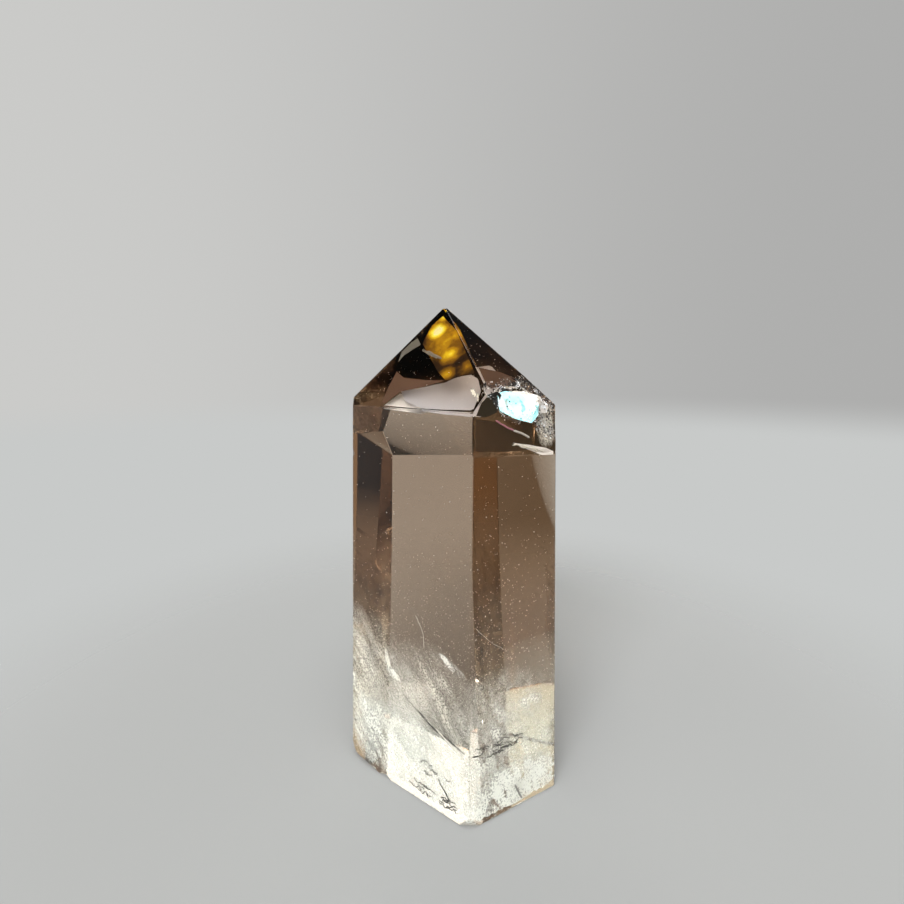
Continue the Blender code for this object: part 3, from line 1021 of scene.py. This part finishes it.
class QUARTZ_OT_specks(bpy.types.Operator):
    """Scatters the fine specks through the whole stone"""

    bl_idname = "quartz.specks"
    bl_label = "Specks"

    def execute(self, context):
        settings = context.scene.quartz_inclusions
        chance = np.random.default_rng(settings.seed)
        points = chance.uniform(*SPECK_BOX, (settings.speck_count, 3))
        # Thinner upwards, and thick again in the point.
        height = points[:, 2]
        thinned = np.clip(MOST_SPECKS - height / SPECK_FADE, FEWEST_SPECKS, 1.0)
        share = np.where(height > SHOULDER_HEIGHT, POINT_SPECKS, thinned)
        kept = chance.random(len(points)) < share
        points = points[kept & inside(points, SPECK_MARGIN)]
        points = points[in_stone(points)]
        # Bubbles and flakes that catch the light: bright white, a little glossy.
        grain = inclusion("fluid_inclusions", "#ffffff", 0.3)
        scatter("specks", points, settings.speck_radius, SMALLEST_SPECK, settings.seed, grain)
        return {"FINISHED"}


class QUARTZ_OT_cloud(bpy.types.Operator):
    """Gathers the pale, drawn-out cloud of specks above the base"""

    bl_idname = "quartz.cloud"
    bl_label = "Cloud"

    def execute(self, context):
        settings = context.scene.quartz_inclusions
        chance = np.random.default_rng(settings.seed + 1)
        points = chance.uniform(*CLOUD_BOX, (settings.cloud_count, 3))
        points = points[inside(points, CLOUD_MARGIN)]
        # Drawn out along a slope that falls to the right, thick at the base and at the left.
        along = Vector(CLOUD_SLOPE).normalized()
        wanted = []
        for point in points:
            spot = Vector(point)
            run = spot.dot(along)
            folded = (spot - along * run) * CLOUD_ACROSS + along * (run * CLOUD_ALONG)
            streak = MEAN_STREAK + BROAD_STREAK * noise.noise(folded)
            streak += FINE_STREAK * noise.noise(folded * FINER)
            height_left = CLOUD_TOP - CLOUD_FALL * spot.x - spot.z
            fill = np.clip(height_left / CLOUD_FADE, 0.0, 1.0)
            wanted.append(fill * np.clip(streak, LEAST_STREAK, 1.0))
        points = points[chance.random(len(points)) < np.array(wanted)]
        points = points[in_stone(points)]
        # Bubbles too fine to tell apart: milky white and dull.
        grain = inclusion("fluid_inclusion_cloud", "#f6f7f0", 0.4)
        scatter("cloud", points, settings.cloud_radius, SMALLEST_IN_CLOUD, settings.seed + 1, grain)
        return {"FINISHED"}


class QUARTZ_OT_veils(bpy.types.Operator):
    """Makes the veils of white haze and their bright glints"""

    bl_idname = "quartz.veils"
    bl_label = "Veils"

    def execute(self, context):
        sheets = bmesh.new()
        haze = []
        for veil in VEILS:
            haze += add_veil(sheets, veil)
        layer = sheets.verts.layers.float.new("haze")
        for vert, value in zip(sheets.verts, haze):
            vert[layer] = value
        smooth_shading(sheets)
        # What would stand out of the stone is trimmed off.
        spots = np.array([vert.co / MM for vert in sheets.verts])
        kept = inside(spots, VEIL_MARGIN) & in_stone(spots)
        gone = [vert for vert, deep in zip(sheets.verts, kept) if not deep]
        bmesh.ops.delete(sheets, geom=gone, context="VERTS")
        ride(mesh_object("veils", sheets), veil_haze(Vector(GRAIN).normalized()))
        return {"FINISHED"}


class QUARTZ_OT_threads(bpy.types.Operator):
    """Makes the fine channels, scratches and edges of cracks"""

    bl_idname = "quartz.threads"
    bl_label = "Threads"

    def execute(self, context):
        seed = context.scene.quartz_inclusions.seed
        chance = np.random.default_rng(seed + 3)
        noise.seed_set(seed + 5)  # so that the threads bend the same each time
        looks = {
            "dark": ("#1b1611", 0.3),  # brown black channels; in the diagonal bundle, painted shade by the white ones
            "white": ("#f6f6f0", 0.25),  # edges of cracks, painted bright white for the light that they catch
            "grey": ("#8b8986", 0.5),  # dull grey scratches
            "rose": ("#c98aa6", 0.25),  # the edge of a crack that splits the light, painted rose
            "silver": ("#dfe4e6", 0.2),  # edges of cracks with a painted cool gleam
        }
        for finish, (colour, roughness) in looks.items():
            bundle = bmesh.new()
            for thread in THREADS:
                if thread.finish == finish:
                    for path in thread_paths(thread, chance):
                        add_thread(bundle, path, thread.radius)
            smooth_shading(bundle)
            material = inclusion("thread_" + finish, colour, roughness)
            ride(mesh_object("threads_" + finish, bundle), material)
        return {"FINISHED"}


def studio_world(settings):
    """A plain backdrop, and around the stone the fields of light and shade that show in it."""
    world = bpy.data.worlds.new("studio")
    world.use_nodes = True
    tree = world.node_tree
    tree.nodes.clear()
    towards = add_node(tree, "ShaderNodeTexCoord").outputs["Generated"]
    # Each layer has the way it faces, the cosines at which it is full and gone, and its colour.
    # The backdrop turns a little darker to the right, and meets the floor in a soft line.
    backdrop = [
        ((1.0, 0.0, 0.0), *RIGHT_WALL, (*settings.wall_right, 1.0)),
        ((0.0, 0.0, -1.0), *HORIZON, (*settings.floor_far, 1.0)),
    ]
    fields = []
    for field in FIELDS:
        full, gone = (math.cos(math.radians(angle)) for angle in (field.inner, field.outer))
        colour = [channel * field.strength for channel in to_linear(field.colour)[:3]]
        fields.append((direction(field.azimuth, field.rise), full, gone, (*colour, 1.0)))
    light = (*settings.wall_left, 1.0)
    covered = []
    for way, full, gone, colour in backdrop + fields:
        ends = {0: towards, 1: way}
        near = add_node(tree, "ShaderNodeVectorMath", ends, operation="DOT_PRODUCT").outputs["Value"]
        fade = {"Value": near, "From Min": gone, "From Max": full}
        share = add_node(tree, "ShaderNodeMapRange", fade, interpolation_type="SMOOTHSTEP").outputs["Result"]
        layers = {0: share, 6: light, 7: colour}
        light = add_node(tree, "ShaderNodeMix", layers, data_type="RGBA").outputs[2]
        covered.append(light)
    # The fields light the stone and show in it, but not in the plain backdrop.
    plain = covered[len(backdrop) - 1]
    seen = add_node(tree, "ShaderNodeLightPath").outputs["Is Camera Ray"]
    shown = add_node(tree, "ShaderNodeMix", {0: seen, 6: light, 7: plain}, data_type="RGBA")
    background = add_node(tree, "ShaderNodeBackground", {"Color": shown.outputs[2]})
    add_node(tree, "ShaderNodeOutputWorld", {"Surface": background.outputs[0]})
    return world


class QUARTZ_OT_stage(bpy.types.Operator):
    """Makes the floor, the backdrop, the light and the camera"""

    bl_idname = "quartz.stage"
    bl_label = "Stage"

    def execute(self, context):
        settings = context.scene.quartz_stage
        context.scene.view_settings.view_transform = "Standard"
        # Light is turned back inside the stone many times before it leaves it.
        cycles = context.scene.cycles
        cycles.max_bounces, cycles.glossy_bounces, cycles.transmission_bounces = 32, 16, 32
        cycles.transparent_max_bounces = 48

        disc = bmesh.new()
        bmesh.ops.create_circle(disc, cap_ends=True, segments=96, radius=FLOOR_RADIUS * MM)
        bmesh.ops.translate(disc, verts=disc.verts, vec=(0.0, 0.0, -FLOOR_GAP * MM))
        floor = mesh_object("floor", disc)
        floor.data.materials.append(matt_floor(settings.floor_colour))
        context.scene.world = studio_world(settings)

        lens = bpy.data.cameras.new("camera")
        lens.lens, lens.sensor_width = FOCAL_LENGTH, SENSOR_WIDTH
        lens.clip_start, lens.clip_end = SEEN_FROM * MM, SEEN_TO * MM
        camera = link_object("camera", lens)
        camera.location = Vector(CAMERA_PLACE) * MM
        camera.rotation_euler = (math.radians(90.0 - CAMERA_PITCH), 0.0, 0.0)
        context.scene.camera = camera
        return {"FINISHED"}


class QUARTZ_PT_panel(bpy.types.Panel):
    """One button for each of the steps"""

    bl_label = "Smoky Quartz Point"
    bl_idname = "QUARTZ_PT_panel"
    bl_space_type = "VIEW_3D"
    bl_region_type = "UI"
    bl_category = "Quartz"

    def draw(self, context):
        for operator in OPERATORS:
            self.layout.operator(operator.bl_idname)


OPERATORS = (
    QUARTZ_OT_crystal,
    QUARTZ_OT_bruise,
    QUARTZ_OT_cracks,
    QUARTZ_OT_smoke,
    QUARTZ_OT_specks,
    QUARTZ_OT_cloud,
    QUARTZ_OT_veils,
    QUARTZ_OT_threads,
    QUARTZ_OT_stage,
)
GROUPS = (QuartzStone, QuartzInclusions, QuartzStage)


def register():
    for cls in (*GROUPS, *OPERATORS, QUARTZ_PT_panel):
        bpy.utils.register_class(cls)
    bpy.types.Scene.quartz_stone = bpy.props.PointerProperty(type=QuartzStone)
    bpy.types.Scene.quartz_inclusions = bpy.props.PointerProperty(type=QuartzInclusions)
    bpy.types.Scene.quartz_stage = bpy.props.PointerProperty(type=QuartzStage)


def unregister():
    del bpy.types.Scene.quartz_stage
    del bpy.types.Scene.quartz_inclusions
    del bpy.types.Scene.quartz_stone
    for cls in reversed((*GROUPS, *OPERATORS, QUARTZ_PT_panel)):
        bpy.utils.unregister_class(cls)


def main():
    register()
    bpy.ops.quartz.crystal()
    bpy.ops.quartz.bruise()
    bpy.ops.quartz.cracks()
    bpy.ops.quartz.smoke()
    bpy.ops.quartz.specks()
    bpy.ops.quartz.cloud()
    bpy.ops.quartz.veils()
    bpy.ops.quartz.threads()
    bpy.ops.quartz.stage()


if __name__ == "__main__":
    main()
